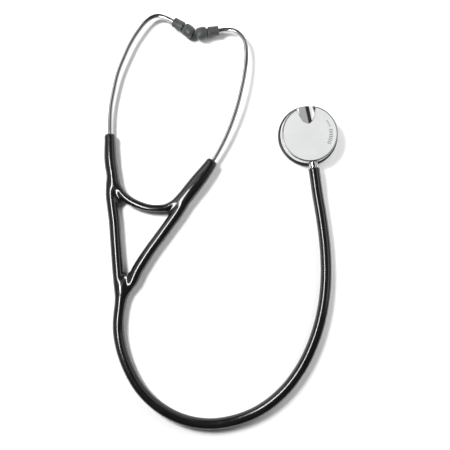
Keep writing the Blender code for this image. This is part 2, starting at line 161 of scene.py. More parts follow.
BRIDGE = [
    (-0.089, -0.0105, 0.0048, 0.0034),
    (-0.0858, -0.0187, 0.0048, 0.0035),
    (-0.0813, -0.0257, 0.0048, 0.00355),
    (-0.0752, -0.0307, 0.0048, 0.0035),
    (-0.067, -0.0346, 0.0048, 0.00335),
    (-0.0596, -0.0366, 0.0048, 0.0031),
    (-0.053, -0.037, 0.0048, 0.003),
    (-0.0457, -0.0363, 0.0048, 0.0031),
    (-0.0391, -0.0331, 0.0048, 0.00335),
    (-0.0334, -0.0277, 0.0048, 0.0035),
    (-0.0276, -0.0208, 0.0049, 0.0035),
    (-0.0226, -0.0144, 0.005, 0.0034),
]
SPRING = [
    (-0.0883, 0.012),
    (-0.0883, 0.007),
    (-0.0881, 0.001),
    (-0.0876, -0.007),
    (-0.0856, -0.017),
    (-0.0813, -0.0255),
    (-0.0752, -0.0307),
    (-0.067, -0.0346),
    (-0.0596, -0.0366),
    (-0.053, -0.037),
    (-0.0457, -0.0363),
    (-0.0391, -0.0331),
    (-0.0334, -0.0277),
    (-0.0281, -0.0211),
    (-0.0238, -0.0152),
    (-0.0204, -0.0106),
    (-0.0167, -0.0056),
]
LEFT_EARTUBE = [
    (-0.0915, 0.0315, 0.0051),
    (-0.0907, 0.0457, 0.0053),
    (-0.0881, 0.0601, 0.0056),
    (-0.0846, 0.074, 0.006),
    (-0.0793, 0.0872, 0.0063),
    (-0.0741, 0.0981, 0.0064),
    (-0.0678, 0.108, 0.0064),
    (-0.0619, 0.1152, 0.0062),
    (-0.0565, 0.1192, 0.0059),
    (-0.052, 0.1204, 0.0057),
    (-0.0466, 0.1192, 0.0054),
]
RIGHT_EARTUBE = [
    (0.0012, 0.0164, 0.0065),
    (0.0072, 0.03, 0.0073),
    (0.0119, 0.0434, 0.0081),
    (0.0162, 0.0599, 0.0088),
    (0.0184, 0.071, 0.009),
    (0.0196, 0.08, 0.0089),
    (0.02, 0.091, 0.0084),
    (0.0186, 0.0994, 0.0078),
    (0.0146, 0.1052, 0.0071),
    (0.009, 0.1084, 0.0063),
    (0.0032, 0.109, 0.0056),
]
HOSE = [
    (-0.08415, -0.1224, 0.0045),
    (-0.0847, -0.1284, 0.0045),
    (-0.0847, -0.1375, 0.0045),
    (-0.0822, -0.1522, 0.0045),
    (-0.0765, -0.1682, 0.0045),
    (-0.0664, -0.1855, 0.0045),
    (-0.0509, -0.2003, 0.0045),
    (-0.0304, -0.2106, 0.0045),
    (-0.0096, -0.2138, 0.0045),
    (0.011, -0.2108, 0.0045),
    (0.0314, -0.2024, 0.0045),
    (0.0498, -0.188, 0.0045),
    (0.0642, -0.1696, 0.0045),
    (0.0753, -0.1468, 0.0045),
    (0.0824, -0.1221, 0.0045),
    (0.0855, -0.0956, 0.0045),
    (0.085, -0.0713, 0.0045),
    (0.0816, -0.0432, 0.0047),
    (0.078, -0.023, 0.0059),
]


def smooth_route(stations, spacing):
    """Vectors about every spacing along one smooth curve through all the stations."""
    points = [Vector(station) for station in stations]
    gaps = [(Vector(b[:3]) - Vector(a[:3])).length for a, b in zip(points, points[1:])]
    slopes = [(b - a) / gap for a, b, gap in zip(points, points[1:], gaps)]
    tangents = [slopes[0]]
    for before, after, gap_before, gap_after in zip(slopes, slopes[1:], gaps, gaps[1:]):
        tangents.append((before * gap_after + after * gap_before) / (gap_before + gap_after))
    tangents.append(slopes[-1])
    route = []
    for index, gap in enumerate(gaps):
        steps = max(1, round(gap / spacing))
        for step in range(steps):
            t = step / steps
            route.append(
                points[index] * (2 * t**3 - 3 * t**2 + 1)
                + points[index + 1] * (3 * t**2 - 2 * t**3)
                + tangents[index] * gap * (t**3 - 2 * t**2 + t)
                + tangents[index + 1] * gap * (t**3 - t**2)
            )
    route.append(points[-1])
    return route


def with_radius(stations, radius):
    return [(*station[:3], radius) for station in stations]


# ---------------------------------------------------------------- materials


MIX_DARK, MIX_LIGHT, MIX_RESULT = 6, 7, 2  # where a Mix node keeps its colours


class Coat:
    """A node material on one Principled shader, with helpers that keep its recipe short."""

    def __init__(self, name, colour, roughness, metallic=0.0, **settings):
        self.material = bpy.data.materials.new(name)
        self.material.use_nodes = True
        self.tree = self.material.node_tree
        self.shader = self.tree.nodes["Principled BSDF"]
        self.place = self.node("ShaderNodeTexCoord").outputs["Object"]
        self.set("Base Color", (*colour, 1.0))
        self.set("Roughness", roughness)
        self.set("Metallic", metallic)
        for socket, value in settings.items():
            self.set(socket.replace("_", " "), value)

    def set(self, socket, value):
        self.shader.inputs[socket].default_value = value

    def node(self, kind, **values):
        made = self.tree.nodes.new(kind)
        for key, value in values.items():
            if key in made.inputs:
                made.inputs[key].default_value = value
            else:
                setattr(made, key, value)
        return made

    def link(self, output, socket):
        self.tree.links.new(output, socket)

    def noise(self, scale, detail=3.0, stretch=None, rough=0.55):
        """Soft random patches, scale of them to a metre, drawn out by stretch along x, y and z."""
        made = self.node("ShaderNodeTexNoise", Scale=scale, Detail=detail, Roughness=rough)
        place = self.place
        if stretch:
            mapping = self.node("ShaderNodeMapping", Scale=stretch)
            self.link(place, mapping.inputs["Vector"])
            place = mapping.outputs["Vector"]
        self.link(place, made.inputs["Vector"])
        return made.outputs["Fac"]

    def ramp(self, source, low, high, start=0.35, end=0.65):
        """A number from low to high as source goes from start to end."""
        made = self.node("ShaderNodeMapRange")
        for key, value in (("From Min", start), ("From Max", end), ("To Min", low), ("To Max", high)):
            made.inputs[key].default_value = value
        self.link(source, made.inputs["Value"])
        return made.outputs["Result"]

    def vary_colour(self, source, dark, light, start=0.35, end=0.65):
        made = self.node("ShaderNodeMix", data_type="RGBA")
        self.link(self.ramp(source, 0.0, 1.0, start, end), made.inputs["Factor"])
        made.inputs[MIX_DARK].default_value = (*dark, 1.0)
        made.inputs[MIX_LIGHT].default_value = (*light, 1.0)
        self.link(made.outputs[MIX_RESULT], self.shader.inputs["Base Color"])

    def vary_roughness(self, source, low, high):
        self.link(self.ramp(source, low, high), self.shader.inputs["Roughness"])

    def bumps(self, *layers):
        """Relief from (source, height in metres) layers, one on top of the other."""
        below = None
        for source, height in layers:
            bump = self.node("ShaderNodeBump", Strength=1.0, Distance=height)
            self.link(source, bump.inputs["Height"])
            if below:
                self.link(below, bump.inputs["Normal"])
            below = bump.outputs["Normal"]
        self.link(below, self.shader.inputs["Normal"])


def black_vinyl():
    """Moulded PVC: nearly black, glossy, with faint waviness and dull patches from handling."""
    coat = Coat("black_vinyl", (0.0045, 0.0045, 0.005), 0.16, IOR=1.6)
    cloudy = coat.noise(90.0, detail=4.0)
    coat.vary_colour(cloudy, (0.0036, 0.0036, 0.0041), (0.0060, 0.0060, 0.0065))
    coat.vary_roughness(coat.noise(160.0, detail=5.0), 0.13, 0.19)
    coat.bumps((coat.noise(90.0, detail=2.0), 0.00002), (coat.noise(1900.0, detail=3.0), 0.0000008))
    return coat.material


def bright_steel(name, tone, roughness):
    """Bright steel with hairline scratches."""
    coat = Coat(name, (tone, tone, tone * 0.985), roughness, metallic=1.0)
    coat.vary_roughness(coat.noise(420.0, detail=5.0), roughness - 0.03, roughness + 0.03)
    coat.bumps((coat.noise(1500.0, stretch=(1.0, 0.06, 1.0)), 0.0000012))
    return coat.material


def satin_steel():
    """Bead-blasted stainless steel."""
    coat = Coat("satin_steel", (0.505, 0.513, 0.509), 0.6, metallic=0.4)
    coat.vary_colour(coat.noise(70.0, detail=4.0), (0.488, 0.496, 0.492), (0.522, 0.530, 0.526))
    coat.vary_roughness(coat.noise(900.0, detail=4.0), 0.56, 0.64)
    coat.bumps((coat.noise(5200.0, detail=2.0), 0.000008))
    return coat.material


def spring_steel():
    coat = Coat("spring_steel", (0.42, 0.43, 0.46), 0.3, metallic=1.0)
    coat.vary_roughness(coat.noise(800.0, stretch=(0.1, 1.0, 1.0)), 0.24, 0.36)
    coat.bumps((coat.noise(2400.0, stretch=(0.08, 1.0, 1.0)), 0.000004))
    return coat.material


def grey_rubber():
    """Soft matt silicone rubber, with a fine grain and a little bloom."""
    coat = Coat("grey_rubber", (0.033, 0.037, 0.037), 0.45, Sheen_Weight=0.1, Sheen_Roughness=0.5)
    coat.vary_colour(coat.noise(260.0, detail=5.0), (0.024, 0.027, 0.028), (0.043, 0.047, 0.047))
    coat.vary_roughness(coat.noise(700.0, detail=4.0), 0.40, 0.52)
    coat.bumps((coat.noise(380.0, detail=2.0), 0.00006), (coat.noise(4200.0, detail=2.0), 0.000012))
    return coat.material


def rim_black():
    coat = Coat("rim_black", (0.018, 0.018, 0.019), 0.34)
    coat.vary_roughness(coat.noise(600.0, detail=4.0), 0.28, 0.42)
    coat.bumps((coat.noise(3200.0, detail=2.0), 0.000008))
    return coat.material


def diaphragm_plastic():
    """Glass-epoxy sheet, whose woven glass shows faintly."""
    coat = Coat("diaphragm_plastic", (0.60, 0.61, 0.58), 0.32)
    weave = coat.node("ShaderNodeTexChecker", Scale=1400.0)
    coat.link(coat.place, weave.inputs["Vector"])
    coat.vary_colour(weave.outputs["Fac"], (0.55, 0.56, 0.53), (0.63, 0.64, 0.61))
    coat.bumps((weave.outputs["Fac"], 0.00001), (coat.noise(3000.0), 0.000006))
    return coat.material


def etched_grey():
    coat = Coat("etched_grey", (0.10, 0.10, 0.085), 0.7, metallic=0.3)
    coat.vary_colour(coat.noise(2500.0), (0.05, 0.05, 0.04), (0.16, 0.16, 0.14))
    return coat.material


# ---------------------------------------------------------------- shapes


def link_new(name, data):
    made = bpy.data.objects.new(name, data)
    bpy.context.scene.collection.objects.link(made)
    return made


def finish_piece(piece, material, body=None, stands_for=()):
    """Gives a new piece its material, its body and the CAD nodes that it replaces."""
    piece.data.materials.clear()
    piece.data.materials.append(material)
    if body:
        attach(piece, body)
    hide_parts(*stands_for)
    return piece


def tube_curve(name, route, sides, capped=True, ratio=1.0):
    """A round tube along a route whose points hold its radius as fourth number."""
    curve = bpy.data.curves.new(name, "CURVE")
    curve.dimensions = "3D"
    curve.twist_mode = "Z_UP"
    curve.bevel_depth = 1.0
    curve.bevel_resolution = sides // 2 - 2
    curve.use_fill_caps = capped
    spline = curve.splines.new("POLY")
    spline.points.add(len(route) - 1)
    for point, station in zip(spline.points, route):
        point.co = (*station[:3], 1.0)
        point.radius = station[3]
    if ratio != 1.0:
        section = oval_section(sides, ratio)
        curve.bevel_mode = "OBJECT"
        curve.bevel_object = section
    return link_new(name, curve)


def oval_section(sides, ratio):
    """A closed curve one metre in half-width and ratio metres in half-height."""
    curve = bpy.data.curves.new("oval_section", "CURVE")
    spline = curve.splines.new("POLY")
    spline.use_cyclic_u = True
    spline.points.add(sides - 1)
    for index, point in enumerate(spline.points):
        turn = 2 * math.pi * index / sides
        point.co = (math.cos(turn), math.sin(turn) * ratio, 0.0, 1.0)
    return link_new("oval_section", curve)


def as_mesh(made, weld=1e-6):
    """Replaces an object by the mesh that it makes, modifiers included."""
    name = made.name
    bpy.context.view_layer.update()
    graph = bpy.context.evaluated_depsgraph_get()
    mesh = bpy.data.meshes.new_from_object(made.evaluated_get(graph))
    mesh.transform(made.matrix_world)
    shape = bmesh.new()
    shape.from_mesh(mesh)
    bmesh.ops.remove_doubles(shape, verts=shape.verts, dist=weld)
    bmesh.ops.recalc_face_normals(shape, faces=shape.faces)
    shape.to_mesh(mesh)
    shape.free()
    bpy.data.objects.remove(made)
    return link_new(name, mesh)


def standing_at(foot, axis):
    """The placement that puts an object's origin at foot and its Z along axis."""
    return Matrix.Translation(foot) @ axis.to_track_quat("Z", "Y").to_matrix().to_4x4()


def rounded(profile, amount, steps=4):
    """A profile of (radius, height) points with its corners rounded off by up to amount."""
    made = []
    for index, point in enumerate(profile):
        corner = Vector(point)
        if index in (0, len(profile) - 1) or corner.x == 0.0:
            made.append(tuple(corner))
            continue
        before, after = Vector(profile[index - 1]) - corner, Vector(profile[index + 1]) - corner
        reach = min(amount, before.length * 0.45, after.length * 0.45)
        start, end = corner + before.normalized() * reach, corner + after.normalized() * reach
        for step in range(steps + 1):
            t = step / steps
            made.append(tuple(start * (1 - t) ** 2 + corner * 2 * t * (1 - t) + end * t**2))
    return made


def turned(name, profile, steps, placement, closed=True):
    """A solid turned about its own Z from (radius, height) points."""
    mesh = bpy.data.meshes.new(name)
    shape = bmesh.new()
    rings = []
    for radius, height in profile:
        if radius < 1e-7:
            rings.append([shape.verts.new((0.0, 0.0, height))] * steps)
            continue
        turns = [2 * math.pi * step / steps for step in range(steps)]
        rings.append([shape.verts.new((radius * math.cos(a), radius * math.sin(a), height)) for a in turns])
    pairs = list(zip(rings, rings[1:]))
    if closed and profile[0][0] > 1e-7:
        pairs.append((rings[-1], rings[0]))
    for upper, lower in pairs:
        for step in range(steps):
            corners = [upper[step], lower[step], lower[(step + 1) % steps], upper[(step + 1) % steps]]
            corners = list(dict.fromkeys(corners))
            if len(corners) > 2:
                shape.faces.new(corners)
    bmesh.ops.recalc_face_normals(shape, faces=shape.faces)
    shape.to_mesh(mesh)
    shape.free()
    mesh.transform(placement)
    return link_new(name, mesh)


def shade(piece, sharp_degrees=35.0):
    piece.data.shade_smooth()
    piece.data.set_sharp_from_angle(angle=math.radians(sharp_degrees))
    return piece


# ---------------------------------------------------------------- moulded tubing
#
# The yoke's surface is where a field is zero. The field joins the distances to its three tubes with soft
# fillets and trims the sleeves' mouths and bores. Each field function returns the values at some points and
# the directions in which they grow.


class TubeField:
    """The distance from a tube along a route, negative inside it."""

    def __init__(self, stations, height_ratio=1.0):
        route = smooth_route(stations, 0.0006)
        self.line = np.array([tuple(point) for point in route])
        self.squeeze = np.array((1.0, 1.0, 1.0 / height_ratio))
        self.tree = KDTree(len(route))
        for index, point in enumerate(route):
            self.tree.insert(point[:3], index)
        self.tree.balance()

    def __call__(self, points):
        nearest = np.array([self.tree.find(point)[1] for point in points])
        best = np.full(len(points), np.inf)
        away = np.zeros_like(points)
        for shift in (-1, 0):
            first = np.clip(nearest + shift, 0, len(self.line) - 2)
            a, b = self.line[first], self.line[first + 1]
            step = (b - a)[:, :3]
            share = np.clip(((points - a[:, :3]) * step).sum(1) / (step**2).sum(1), 0.0, 1.0)
            middle = a + (b - a) * share[:, None]
            reach = (points - middle[:, :3]) * self.squeeze
            length = np.maximum(np.linalg.norm(reach, axis=1), 1e-9)
            value = length - middle[:, 3]
            nearer = value < best
            best = np.where(nearer, value, best)
            away = np.where(nearer[:, None], reach * self.squeeze / length[:, None], away)
        return best, away


def merged(one, other, fillet):
    """Both shapes in one, with a soft fillet where they meet."""
    share = np.clip(0.5 + 0.5 * (other[0] - one[0]) / fillet, 0.0, 1.0)
    value = other[0] * (1 - share) + one[0] * share - fillet * share * (1 - share)
    return value, other[1] * (1 - share)[:, None] + one[1] * share[:, None]


def trimmed(one, cutter, rounding):
    """One shape less what is beyond cutter's zero, with the new edge rounded."""
    joined = merged((-one[0], -one[1]), (-cutter[0], -cutter[1]), rounding)
    return -joined[0], -joined[1]


def beyond_plane(points, foot, direction):
    return (points - np.array(foot)) @ np.array(direction), np.tile(np.array(direction), (len(points), 1))


def outside_bore(points, mouth, outwards, radius, depth):
    """Positive inside a round hole that runs down from a mouth."""
    axis = np.array(outwards)
    offset = points - np.array(mouth)
    along = offset @ axis
    radial = offset - along[:, None] * axis
    length = np.maximum(np.linalg.norm(radial, axis=1), 1e-9)
    wall = (length - radius, radial / length[:, None])
    floor = (-along - depth, np.tile(-axis, (len(points), 1)))
    deeper = (floor[0] > wall[0])[:, None]
    value = np.maximum(wall[0], floor[0])
    return -value, -np.where(deeper, floor[1], wall[1])


VOXEL = 0.00042
FILLET = 0.0034
LIP_ROUNDING = 0.0026
BORE_ROUNDING = 0.0008
BORE_RADIUS = EARTUBE_RADIUS + 0.00012
PAST_MOUTH = 0.004  # how far the sleeves' routes run on, to be trimmed at the mouth
# The bridge and the right leg taper out inside the tubes that they join
BRIDGE_ROOTS = ([(-0.0915, 0.008, 0.0048, 0.0004), (-0.0905, -0.001, 0.0048, 0.0022)],
                [(-0.0170, -0.0066, 0.0052, 0.0022), (-0.0112, 0.0016, 0.0056, 0.0004)])
RIGHT_ROOT = [
    (-0.0763, -0.1013, 0.0043, 0.0041),
    (-0.0795, -0.1070, 0.0041, 0.0034),
    (-0.0822, -0.1135, 0.0041, 0.0022),
]
# Webs that round off the three corners of the triangle between the legs and the bridge
WEBS = (
    [
        (-0.0777, -0.0922, 0.0043, 0.0022),
        (-0.0800, -0.0975, 0.0050, 0.0036),
        (-0.0812, -0.1045, 0.0050, 0.0038),
    ],
    [(-0.0836, -0.0322, 0.0042, 0.0012), (-0.0868, -0.0238, 0.0042, 0.0024)],
    [(-0.0428, -0.0402, 0.0042, 0.0012), (-0.0370, -0.0340, 0.0042, 0.0018)],
)
LOWEST = 0.0001  # where the yoke's underside is trimmed flat
UNDERSIDE_ROUNDING = 0.0015


def sleeve_route(side, mouth, outwards):
    """A side's stations with the sleeve at full thickness up to and past its mouth."""
    inner = [s for s in side if (Vector(s[:3]) - mouth).length > 0.0015]
    past = mouth + outwards * PAST_MOUTH
    return [(*past, SLEEVE_RADIUS), (*mouth, SLEEVE_RADIUS), *inner]


def yoke_field():
    """The whole yoke as one field."""
    trunk = with_radius(HOSE[:2], HOSE_DIAMETER / 2)
    left = TubeField([*sleeve_route(LEFT_SIDE[:-1], LEFT_MOUTH, LEFT_OUT), *trunk])
    right = TubeField(sleeve_route([*RIGHT_SIDE[:-3], *RIGHT_ROOT], RIGHT_MOUTH, RIGHT_OUT))
    bridge = TubeField([*BRIDGE_ROOTS[0], *BRIDGE, *BRIDGE_ROOTS[1]], BRIDGE_HEIGHT_RATIO)
    webs = [TubeField(web) for web in WEBS]

    def field(points):
        shape = left(points)
        for other in (right, bridge, *webs):
            shape = merged(shape, other(points), FILLET)
        for mouth, outwards in ((LEFT_MOUTH, LEFT_OUT), (RIGHT_MOUTH, RIGHT_OUT)):
            shape = trimmed(shape, beyond_plane(points, mouth, outwards), LIP_ROUNDING)
            bore = outside_bore(points, mouth, outwards, BORE_RADIUS, SOCKET_DEPTH)
            shape = trimmed(shape, bore, BORE_ROUNDING)
        floor = beyond_plane(points, Vector((0.0, 0.0, LOWEST)), Vector((0.0, 0.0, -1.0)))
        return trimmed(shape, floor, UNDERSIDE_ROUNDING)

    return field


def rough_yoke():
    """The yoke's tubes as one evenly meshed skin, before they are settled on the field."""
    trunk = with_radius(HOSE[:2], HOSE_DIAMETER / 2)
    left_route = [*sleeve_route(LEFT_SIDE[:-1], LEFT_MOUTH, LEFT_OUT)[1:], *trunk]
    right_route = sleeve_route(RIGHT_SIDE, RIGHT_MOUTH, RIGHT_OUT)[1:]
    left = as_mesh(tube_curve("left_tube", smooth_route(left_route, 0.002), 24))
    right = as_mesh(tube_curve("right_tube", smooth_route(right_route, 0.002), 24))
    bridge_route = smooth_route(BRIDGE, 0.002)
    bridge = as_mesh(tube_curve("bridge_tube", bridge_route, 24, ratio=BRIDGE_HEIGHT_RATIO))
    bpy.data.objects.remove(bpy.data.objects["oval_section"])
    webs = [as_mesh(tube_curve("web", smooth_route(web, 0.002), 16)) for web in WEBS]
    bore = [(0.0, 0.002), (BORE_RADIUS, 0.002), (BORE_RADIUS, -SOCKET_DEPTH), (0.0, -SOCKET_DEPTH)]
    for tube, mouth, outwards in ((left, LEFT_MOUTH, LEFT_OUT), (right, RIGHT_MOUTH, RIGHT_OUT)):
        drill = turned("drill", bore, 24, standing_at(mouth, outwards))
        cut = tube.modifiers.new("bore", "BOOLEAN")
        cut.operation = "DIFFERENCE"
        cut.object = drill
    left, right = as_mesh(left), as_mesh(right)
    for drill in [o for o in bpy.data.objects if o.name.startswith("drill")]:
        bpy.data.objects.remove(drill)
    joined = bmesh.new()
    for tube in (left, right, bridge, *webs):
        joined.from_mesh(tube.data)
        bpy.data.objects.remove(tube)
    mesh = bpy.data.meshes.new("yoke_skin")
    joined.to_mesh(mesh)
    joined.free()
    skin = link_new("yoke_skin", mesh)
    remesh = skin.modifiers.new("voxels", "REMESH")
    remesh.mode = "VOXEL"
    remesh.voxel_size = VOXEL
    return as_mesh(skin)


def settle(mesh, field, rounds=7):
    """Evens out a mesh's points and moves them onto the field's zero."""
    count = len(mesh.vertices)
    points = np.empty(count * 3)
    mesh.vertices.foreach_get("co", points)
    points = points.reshape(-1, 3)
    ends = np.empty(len(mesh.edges) * 2, np.int32)
    mesh.edges.foreach_get("vertices", ends)
    ends = ends.reshape(-1, 2)
    valence = np.bincount(ends.ravel(), minlength=count)[:, None]
    for turn in range(rounds):
        if turn < rounds - 2:
            around = np.stack([
                np.bincount(ends[:, 0], points[ends[:, 1], axis], count)
                + np.bincount(ends[:, 1], points[ends[:, 0], axis], count)
                for axis in range(3)
            ], axis=1)
            points = points + 0.5 * (around / valence - points)
        value, away = field(points)
        move = -value / np.maximum((away**2).sum(1), 0.2)
        points = points + away * np.clip(move, -VOXEL, VOXEL)[:, None]
    mesh.vertices.foreach_set("co", points.ravel())
    mesh.update()


def cut_away(mesh, foot, direction):
    """Removes what is beyond a plane."""
    shape = bmesh.new()
    shape.from_mesh(mesh)
    bmesh.ops.bisect_plane(
        shape,
        geom=[*shape.verts, *shape.edges, *shape.faces],
        plane_co=foot,
        plane_no=direction,
        dist=1e-7,
        clear_outer=True,
    )
    shape.to_mesh(mesh)
    shape.free()


def smooth_by_field(mesh, field):
    """Shades a mesh with the field's own directions, so that pieces cut from one skin show no seam."""
    points = np.empty(len(mesh.vertices) * 3)
    mesh.vertices.foreach_get("co", points)
    away = field(points.reshape(-1, 3))[1]
    mesh.shade_smooth()
    mesh.normals_split_custom_set_from_vertices(away / np.linalg.norm(away, axis=1)[:, None])


def make_yoke(vinyl):
    """The moulded yoke in two halves, parted along the line through the bridge's middle and the crotch."""
    field = yoke_field()
    skin = rough_yoke()
    settle(skin.data, field)
    trunk = Vector(HOSE[1]) - Vector(HOSE[0])
    cut_away(skin.data, Vector(HOSE[0]), trunk)
    along = CROTCH - BRIDGE_MIDDLE
    to_right = Vector((-along.y, along.x, 0.0)).normalized()
    for name, side, arm, hinge, direction, bend in (
        ("tubing_yoke_left", to_right, "left_arm", LEFT_HINGE, LEFT_OUT, LEFT_BEND),
        ("tubing_yoke_right", -to_right, "right_arm", RIGHT_HINGE, RIGHT_OUT, RIGHT_BEND),
    ):
        half = link_new(name, skin.data.copy())
        cut_away(half.data, CROTCH, side)
        smooth_by_field(half.data, field)
        finish_piece(half, vinyl, stands_for=["tubing_yoke"])
        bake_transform(half)
    bpy.data.objects.remove(skin)


def make_hose(vinyl):
    """The free hose, which ends in a rounded lip against the stem's collar."""
    stem = Vector((math.cos(STEM_ANGLE), math.sin(STEM_ANGLE), 0.0))
    end = HEAD_CENTRE + stem * (STEM_END + CAD_GAP) + Vector((0.0, 0.0, STEM_HEIGHT))
    radius = HOSE_DIAMETER / 2
    route = smooth_route([*HOSE, tuple(end + stem * 0.006), tuple(end)], 0.0012)
    route = [(*p[:3], radius) for p in route if (p - end).length > HOSE_LIP]
    for step in range(7):
        turn = math.radians(90.0 * step / 6)
        place = end + stem * HOSE_LIP * (1.0 - math.sin(turn))
        route.append((*place, radius - HOSE_LIP * (1.0 - math.cos(turn))))
    hose = tube_curve("main_tube_hose", route, 48)
    finish_piece(hose, vinyl, "root", ["main_tube"])
    return hose


# ---------------------------------------------------------------- headset


def make_eartube(name, stations, mouth, outwards, tip, tip_axis, steel, body):
    """A bent steel tube, straight inside its sleeve and inside its eartip."""
    in_sleeve = [tuple(mouth - outwards * depth) for depth in (SOCKET_DEPTH, SOCKET_DEPTH / 2, 0.0)]
    in_tip = [tuple(tip + tip_axis * depth) for depth in (-0.0005, 0.003, FERRULE_START + FERRULE_LENGTH)]
    route = smooth_route(with_radius([*in_sleeve, *stations, *in_tip], EARTUBE_RADIUS), 0.0008)
    tube = tube_curve(f"{name}_polished", [tuple(p) for p in route], 32, capped=False)
    wall = tube.modifiers.new("wall", "SOLIDIFY")
    wall.thickness = EARTUBE_WALL
    wall.offset = -1.0
    return finish_piece(shade(as_mesh(tube)), steel, body, [name])


def make_clip(side, mouth, outwards, steel):
    """The ring inside each sleeve that holds one end of the leaf spring to the eartube."""
    inner, outer = 0.00215, 0.0026
    top, bottom = -CLIP_START, -CLIP_START - CLIP_LENGTH
    profile = rounded([(inner, top), (outer, top), (outer, bottom), (inner, bottom), (inner, top)], 0.00012, 3)
    ring = turned(f"{side}_clip_ring", profile[:-1], 48, standing_at(mouth, outwards))
    return finish_piece(shade(ring), steel, f"{side}_arm", [f"{side}_spring_clip"])


def make_ferrule(side, tip, tip_axis, steel):
    """The threaded sleeve that an eartip screws onto."""
    inner, root, crest = EARTUBE_RADIUS + CAD_GAP, 0.00265, 0.00295
    top, pitch = FERRULE_START + FERRULE_LENGTH, 0.0008
    profile = [(inner, FERRULE_START), (inner, top), (root, top)]
    for ridge in range(6):
        profile += [(crest, top - pitch * (ridge + 0.6)), (root, top - pitch * (ridge + 1.0))]
    profile += [(crest, FERRULE_START + 0.0004), (crest, FERRULE_START)]
    sleeve = turned(f"{side}_ferrule_threaded", profile, 48, standing_at(tip, tip_axis))
    return finish_piece(shade(sleeve, 30), steel, f"{side}_arm", [f"{side}_ferrule"])


BULB = [
    (0.0020, 0.01860),
    (0.0035, 0.01850),
    (0.0044, 0.01780),
    (0.0049, 0.01660),
    (0.0051, 0.01500),
    (0.0051, 0.01310),
    (0.0049, 0.01160),
    (0.0044, 0.01045),
]
TIP_GROOVE = [(0.0038, 0.0101), (0.0029, 0.01), (0.0029, 0.00915), (0.0036, 0.0090)]
TIP_SKIRT = [
    (0.0042, 0.0087),
    (0.00425, 0.0078),
    (0.0040, 0.0012),
    (0.0039, 0.0003),
    (0.0036, 0.0),
    (0.0033, 0.0),
]
TIP_HOLE = [(0.00325, 0.0072), (0.0013, 0.0072), (0.0013, 0.0176), (0.0016, 0.0185)]
TIP_PIVOT = 0.009  # where the soft bulb leans over, from the skirt's end


def make_eartip(side, tip, tip_axis, lean_degrees, rubber):
    """A soft eartip, whose bulb leans a little towards the other eartip's side."""
    bulb = [tuple(p) for p in smooth_route(BULB, 0.0004)]
    outline = [*bulb, *rounded([*TIP_GROOVE, *TIP_SKIRT, *TIP_HOLE], 0.00035)]
    piece = turned(f"{side}_eartip_soft", outline, 72, standing_at(tip, tip_axis))
    pivot = tip + tip_axis * TIP_PIVOT
    for vertex in piece.data.vertices:
        depth = (vertex.co - pivot).dot(tip_axis)
        share = min(max(depth / 0.004, 0.0), 1.0)
        lean = Matrix.Rotation(math.radians(lean_degrees) * share, 3, "Z")
        vertex.co = pivot + lean @ (vertex.co - pivot)
    return finish_piece(shade(piece), rubber, f"{side}_tip", [f"{side}_eartip"])


def make_spring(steel):
    """The leaf spring inside the bridge, in two halves."""
    middle = min(range(len(SPRING)), key=lambda index: SPRING[index][1])
    for name, stations, arm, hinge, direction, bend in (
        ("tension_spring_left", SPRING[: middle + 1], "left_arm", LEFT_HINGE, LEFT_OUT, LEFT_BEND),
        ("tension_spring_right", SPRING[middle:], "right_arm", RIGHT_HINGE, RIGHT_OUT, RIGHT_BEND),
    ):
        shape = bmesh.new()
        edges = []
        for place in smooth_route(stations, 0.0015):
            low = shape.verts.new((*place, SPRING_Z - SPRING_HALF_HEIGHT))
            high = shape.verts.new((*place, SPRING_Z + SPRING_HALF_HEIGHT))
            edges.append((low, high))
        for (a, b), (c, d) in zip(edges, edges[1:]):
            shape.faces.new((a, c, d, b))
        mesh = bpy.data.meshes.new(name)
        shape.to_mesh(mesh)
        shape.free()
        strip = link_new(name, mesh)
        wall = strip.modifiers.new("wall", "SOLIDIFY")
        wall.thickness = SPRING_THICKNESS
        wall.offset = 0.0
        strip = shade(as_mesh(strip))
        finish_piece(strip, steel, stands_for=["tension_spring"])
        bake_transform(strip)


# ---------------------------------------------------------------- chestpiece


def head_frame():
    """The chestpiece's own frame: Z up its axis, X along its stem."""
    return Matrix.Translation(HEAD_CENTRE) @ Matrix.Rotation(STEM_ANGLE, 4, "Z")


# The rounded edge beyond these gets a darker steel, which paints the shade of the face's dark outline
EDGE_RADIUS, EDGE_LOWEST = 0.0212, 0.0127  # the turned edge round the face starts beyond these
HEAD_PROFILE = [
    (0.0, 0.0135),
    (0.0216, 0.0135),
    (0.0223, 0.0133),
    (0.0225, 0.0129),
    (0.0228, 0.0105),
    (0.0232, 0.0070),
    (0.0232, 0.0034),
    (0.0226, 0.0034),
    (0.0226, 0.0018),
    (0.0209, 0.0018),
    (0.0209, 0.0024),
    (0.0015, 0.0044),
    (0.0015, 0.0076),
    (0.0, 0.0076),
]


